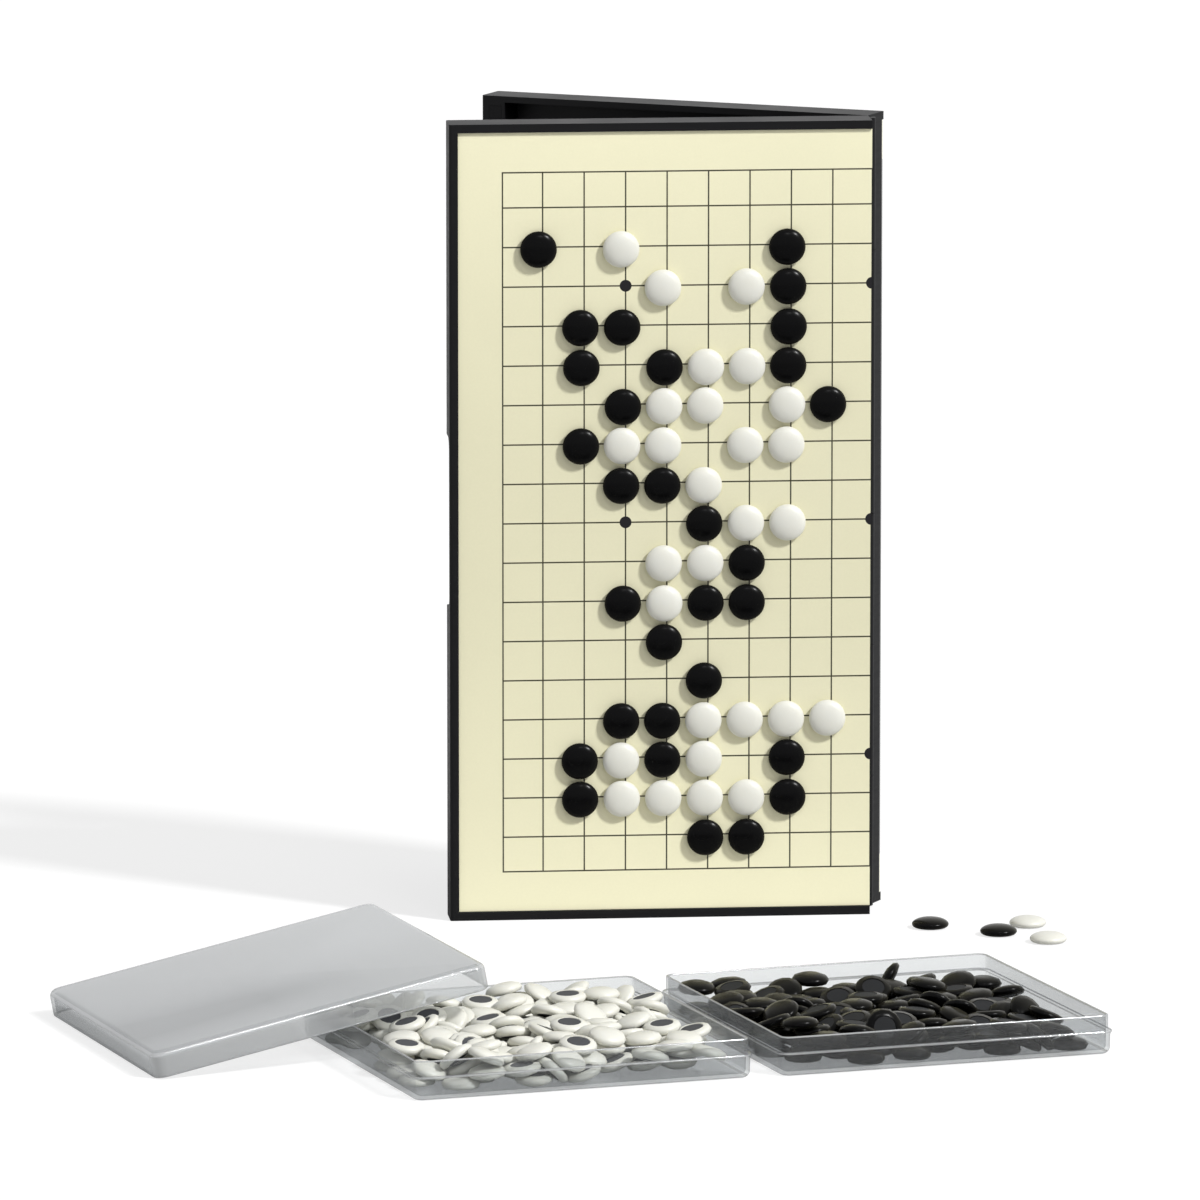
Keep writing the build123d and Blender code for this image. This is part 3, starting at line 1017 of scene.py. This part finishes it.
def lid_place(settings):
    """The lid's rim plane: its left edge on the table and its underside on the tray's left rim."""
    gap = 0.3 * MM
    lean = asin((settings.height + gap) / settings.lid_reach)
    tray = tray_place(settings, "white")
    half = settings.side / 2
    corner = tray @ Vector((-half - settings.lid_reach * cos(lean), settings.lid_setback - half, 0.0))
    tilt = Matrix.Rotation(settings.white_turn, 4, "Z") @ Matrix.Rotation(-lean, 4, "Y")
    centre = tilt @ Vector((lid_half(settings), lid_half(settings), 0.0))
    tilt.translation = corner + centre
    return tilt


class GOSET_OT_lid(bpy.types.Operator):
    """Makes the lid that leans on the white tray"""

    bl_idname = "goset.lid"
    bl_label = "Lid"

    def execute(self, context):
        settings = context.scene.goset_trays
        place = lid_place(settings)
        corner = settings.corner + settings.lid_overhang
        profile = lid_profile(settings)
        material = lid_plastic(settings, place)
        piece = moulded("clear_lid", lid_half(settings), corner, profile, place, material)
        ready(piece, "lid", "clear_plastic", "tray_lid")
        return {"FINISHED"}


# Heaps


def fall_starts(rng, count, half, right_ends):
    """First places of the stones above a tray, in layers of a jittered square grid.

    A layer reaches from the left wall to its own right end, a share of half; the last value of
    right_ends serves all the layers above it. A share of the stones start upside down.
    """
    side = 7
    jitter = 0.2
    bottom, layer_step, layer_jitter = 0.009, 0.011, 0.003
    most_tilt = (1.1, 1.1, pi)
    layer, cell = np.divmod(np.arange(count), side * side)
    u = np.clip((cell % side + rng.uniform(-jitter, jitter, count)) / (side - 1), 0.0, 1.0)
    v = np.clip((cell // side + rng.uniform(-jitter, jitter, count)) / (side - 1), 0.0, 1.0)
    right = np.array(right_ends)[np.minimum(layer, len(right_ends) - 1)]
    x = ((1 + right) * u - 1) * half
    y = (2 * v - 1) * half
    z = bottom + layer_step * layer + rng.uniform(0.0, layer_jitter, count)
    tilts = rng.uniform(-1.0, 1.0, (count, 3)) * most_tilt
    tilts[:, 0] += pi * (rng.random(count) < FLIPPED_SHARE)
    starts = []
    for place, tilt in zip(np.stack([x, y, z], axis=-1), tilts):
        start = Euler(tilt).to_matrix().to_4x4()
        start.translation = place
        starts.append(start)
    return starts


def pen_walls(half, floor):
    """The floor and four walls of a square pen, as boxes given by their lowest and highest corners."""
    thick = 0.02
    tall = 0.30
    span = half + thick
    return [
        ((-span, -span, floor - thick), (span, span, floor)),
        ((-span, -span, floor), (-half, span, tall)),
        ((half, -span, floor), (span, span, tall)),
        ((-half, -span, floor), (half, -half, tall)),
        ((-half, half, floor), (half, span, tall)),
    ]


def falling_shape(hull):
    """The hull of a falling stone, as a mesh."""
    shape = bpy.data.meshes.new("falling_stone")
    work = bmesh.new()
    for point in np.asarray(hull).reshape(-1, 3) * FALL_SCALE:
        work.verts.new(point)
    bmesh.ops.convex_hull(work, input=work.verts)
    work.to_mesh(shape)
    work.free()
    return shape


def falling_stone(world, shape, start):
    """A stone that falls from its first place."""
    stone = bpy.data.objects.new("falling", shape)
    bpy.context.scene.collection.objects.link(stone)
    place = start.copy()
    place.translation = start.translation * FALL_SCALE
    stone.matrix_world = place
    world.collection.objects.link(stone)
    body = stone.rigid_body
    body.collision_shape = "CONVEX_HULL"
    body.use_margin = True
    body.collision_margin = 0.004
    body.friction = FRICTION
    body.restitution = 0.0
    body.linear_damping = 0.1
    body.angular_damping = 0.25
    return stone


def fixed_wall(world, low, high):
    """A fixed box that the stones fall against, given by its lowest and highest corners."""
    low, high = np.array(low) * FALL_SCALE, np.array(high) * FALL_SCALE
    size, centre = high - low, (high + low) / 2
    mesh = bpy.data.meshes.new("pen")
    work = bmesh.new()
    bmesh.ops.create_cube(work, size=1.0, matrix=Matrix.Diagonal((*size, 1.0)))
    work.to_mesh(mesh)
    work.free()
    pen = bpy.data.objects.new("pen", mesh)
    bpy.context.scene.collection.objects.link(pen)
    pen.location = centre
    world.collection.objects.link(pen)
    pen.rigid_body.type = "PASSIVE"
    pen.rigid_body.collision_shape = "BOX"
    pen.rigid_body.friction = FRICTION
    return pen


def settle(hull, starts, walls):
    """Lets rigid stones fall between walls, and returns their last places."""
    scene = bpy.context.scene
    gravity = scene.gravity.copy()
    scene.gravity = (0.0, 0.0, FALL_GRAVITY)
    bpy.ops.rigidbody.world_add()
    world = scene.rigidbody_world
    world.collection = bpy.data.collections.new("falling")
    world.substeps_per_frame = 10
    world.solver_iterations = 12
    world.point_cache.frame_end = FALL_FRAMES
    scene.frame_end = max(scene.frame_end, FALL_FRAMES)
    shape = falling_shape(hull)
    stones = [falling_stone(world, shape, start) for start in starts]
    pens = [fixed_wall(world, low, high) for low, high in walls]
    for number in range(1, FALL_FRAMES + 1):
        scene.frame_set(number)
    graph = bpy.context.evaluated_depsgraph_get()
    ends = []
    for stone in stones:
        end = stone.evaluated_get(graph).matrix_world.copy()
        end.translation = end.translation / FALL_SCALE
        ends.append(end)
    falling = world.collection
    bpy.ops.rigidbody.world_remove()
    for item in (*stones, *pens):
        mesh = item.data
        bpy.data.objects.remove(item)
        if mesh.users == 0:
            bpy.data.meshes.remove(mesh)
    bpy.data.collections.remove(falling)
    scene.gravity = gravity
    scene.frame_set(1)
    return ends


def heap_profile(settings):
    """Half section of a heaped stone, with just enough rings for its curve."""
    girdle = settings.girdle_height
    dome = STONE_HEIGHT - girdle
    ring = MAGNET_RADIUS + POCKET_LIP
    return [
        (ring, SHALLOW_POCKET),
        (ring + POCKET_LIP, 0.0),
        (0.91 * STONE_RADIUS, 0.26 * girdle),
        (STONE_RADIUS, girdle),
        (0.88 * STONE_RADIUS, girdle + 0.52 * dome),
        (0.50 * STONE_RADIUS, girdle + 0.91 * dome),
    ]


def fits(corners, half, floor, top, lid, cover):
    """Whether a stone lies inside its tray, under a height and clear of the lid's rim plane."""
    slack = 0.2 * MM
    under = corners @ lid[:3, :3].T + lid[:3, 3]
    covered = np.abs(under[:, :2]).max(axis=1) < cover
    in_tray = np.abs(corners[:, :2]).max() < half and corners[:, 2].min() > floor - slack
    return in_tray and corners[:, 2].max() < top and not (covered & (under[:, 2] > -slack)).any()


class GOSET_OT_heaps(bpy.types.Operator):
    """Lets the stones fall into the two trays"""

    bl_idname = "goset.heaps"
    bl_label = "Heaps"

    def heap(self, context, colour, count):
        """Makes one colour's heap and its magnets."""
        settings = context.scene.goset_stones
        trays = context.scene.goset_trays
        to_middle = (0.0, -STONE_HEIGHT / 2)
        profile = np.array(heap_profile(settings)) + to_middle
        disc = np.array(magnet_profile(SHALLOW_POCKET)) + to_middle
        half = trays.side / 2 - trays.wall
        reach = half - 1.05 * STONE_RADIUS
        rng = np.random.default_rng(HEAP_SEEDS[colour])
        starts = fall_starts(rng, count, reach, LAYER_ENDS[colour])
        hull = lathe(profile[1:], HULL_AROUND)
        ends = settle(hull, starts, pen_walls(half, trays.floor))
        place = tray_place(trays, colour)
        lid = np.array(lid_place(trays).inverted() @ place)
        cover = lid_half(trays)
        corners = lathe(profile, HEAP_AROUND).reshape(-1, 3)
        spare = 1.0 * MM
        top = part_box(f"{colour}_stones_in_tray")[1].z + spare
        kept = []
        for end in ends:
            turn = np.array(end)
            if fits(corners @ turn[:3, :3].T + turn[:3, 3], half, trays.floor, top, lid, cover):
                kept.append(np.array(place @ end))
        if len(kept) < LEAST_KEPT_SHARE * count:
            raise RuntimeError(f"only {len(kept)} of {count} {colour} stones lie in their tray")
        plastic, ferrite = stone_materials(colour)
        stones = turned(f"{colour}_heap", profile, HEAP_AROUND, kept, plastic, sharp=60.0)
        discs = turned(f"{colour}_heap_magnets", disc, HEAP_AROUND, kept, ferrite)
        ready(stones, f"{colour}_tray_set", f"{colour}_stone", f"{colour}_stones_in_tray")
        ready(discs, f"{colour}_tray_set", "magnet")

    def execute(self, context):
        settings = context.scene.goset_stones
        self.heap(context, "white", settings.white_count)
        self.heap(context, "black", settings.black_count)
        return {"FINISHED"}


def hung(name, data, place, direction, axis="Z"):
    """A lamp or a camera at a place, with its own axis turned along a direction."""
    item = bpy.data.objects.new(name, data)
    item.location = place
    item.rotation_euler = direction.to_track_quat(axis, "Y").to_euler()
    bpy.context.scene.collection.objects.link(item)
    return item


class GOSET_OT_stage(bpy.types.Operator):
    """Makes the floor, the lights and the camera"""

    bl_idname = "goset.stage"
    bl_label = "Stage"

    def execute(self, context):
        scene = context.scene
        settings = scene.goset_stage
        drop = 0.1 * MM
        thick = 1.0 * MM
        radii = (12.0, 4.0, 1.5, 0.6)
        around = 64
        profile = [(radii[0], -drop - thick)] + [(radius, -drop) for radius in radii]
        points = lathe(profile, around)
        floor = skin("floor", points, ring_faces(len(profile), around), floor_white(settings))
        floor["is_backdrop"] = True

        key = bpy.data.lights.new("key", "SUN")
        key.energy = settings.key_strength
        key.angle = settings.key_width
        hung("key", key, (0.0, 0.0, 0.0), Vector(settings.key_direction))

        strip = bpy.data.lights.new("strip", "AREA")
        strip.shape = "RECTANGLE"
        strip.size = settings.strip_length
        strip.size_y = settings.strip_width
        strip.energy = settings.strip_power
        direction = Vector(settings.strip_direction).normalized()
        low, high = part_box("tray_lid")
        hung("strip", strip, (low + high) / 2 + direction * settings.strip_distance, direction)

        finish = Finish(bpy.data.worlds.new("studio"))
        camera = finish.node("ShaderNodeLightPath", output="Is Camera Ray")
        gloss = finish.node("ShaderNodeLightPath", output="Is Glossy Ray")
        even = finish.node("ShaderNodeBackground", {"Color": WHITE, "Strength": settings.sky_strength})
        white = finish.node("ShaderNodeBackground", {"Color": WHITE, "Strength": 1.0})
        world = finish.blended(camera.most(gloss), even, white)
        scene.world = finish.done(world, "ShaderNodeOutputWorld")

        view = bpy.data.cameras.new("camera")
        view.lens = settings.lens
        view.sensor_width = 36.0
        view.clip_end = 60.0
        place = Vector(settings.camera_place)
        scene.camera = hung("camera", view, place, Vector(settings.camera_aim) - place, "-Z")
        scene.view_settings.view_transform = "Standard"
        return {"FINISHED"}


class GOSET_PT_pieces(bpy.types.Panel):
    """Lists the go set's pieces"""

    bl_label = "Go set"
    bl_idname = "GOSET_PT_pieces"
    bl_space_type = "VIEW_3D"
    bl_region_type = "UI"
    bl_category = "Go set"

    def draw(self, context):
        for name, kind in settings_groups.items():
            box = self.layout.box()
            box.label(text=kind.__doc__)
            for key in kind.__annotations__:
                box.prop(getattr(context.scene, name), key)
        for operator in operators:
            self.layout.operator(operator.bl_idname)


settings_groups = {
    "goset_case": CaseSettings,
    "goset_stones": StoneSettings,
    "goset_trays": TraySettings,
    "goset_stage": StageSettings,
}
operators = (
    GOSET_OT_case,
    GOSET_OT_sheets,
    GOSET_OT_board_stones,
    GOSET_OT_loose_stones,
    GOSET_OT_trays,
    GOSET_OT_lid,
    GOSET_OT_heaps,
    GOSET_OT_stage,
)


def register():
    """Registers the settings, the operators and the panel."""
    for name, group in settings_groups.items():
        bpy.utils.register_class(group)
        setattr(bpy.types.Scene, name, PointerProperty(type=group))
    for operator in operators:
        bpy.utils.register_class(operator)
    bpy.utils.register_class(GOSET_PT_pieces)


def unregister():
    """Takes away what register added."""
    bpy.utils.unregister_class(GOSET_PT_pieces)
    for operator in reversed(operators):
        bpy.utils.unregister_class(operator)
    for name, group in reversed(settings_groups.items()):
        delattr(bpy.types.Scene, name)
        bpy.utils.unregister_class(group)


def main():
    """Builds every piece in order and works out the two boxes."""
    register()
    bpy.ops.goset.case()
    bpy.ops.goset.sheets()
    bpy.ops.goset.board_stones()
    bpy.ops.goset.loose_stones()
    bpy.ops.goset.trays()
    bpy.ops.goset.lid()
    bpy.ops.goset.heaps()
    bpy.ops.goset.stage()
    boxes = {
        "cad": [list(corner) for corner in cad_bounds],
        "visual": [list(corner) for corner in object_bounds()],
    }


if __name__ == "__main__":
    main()
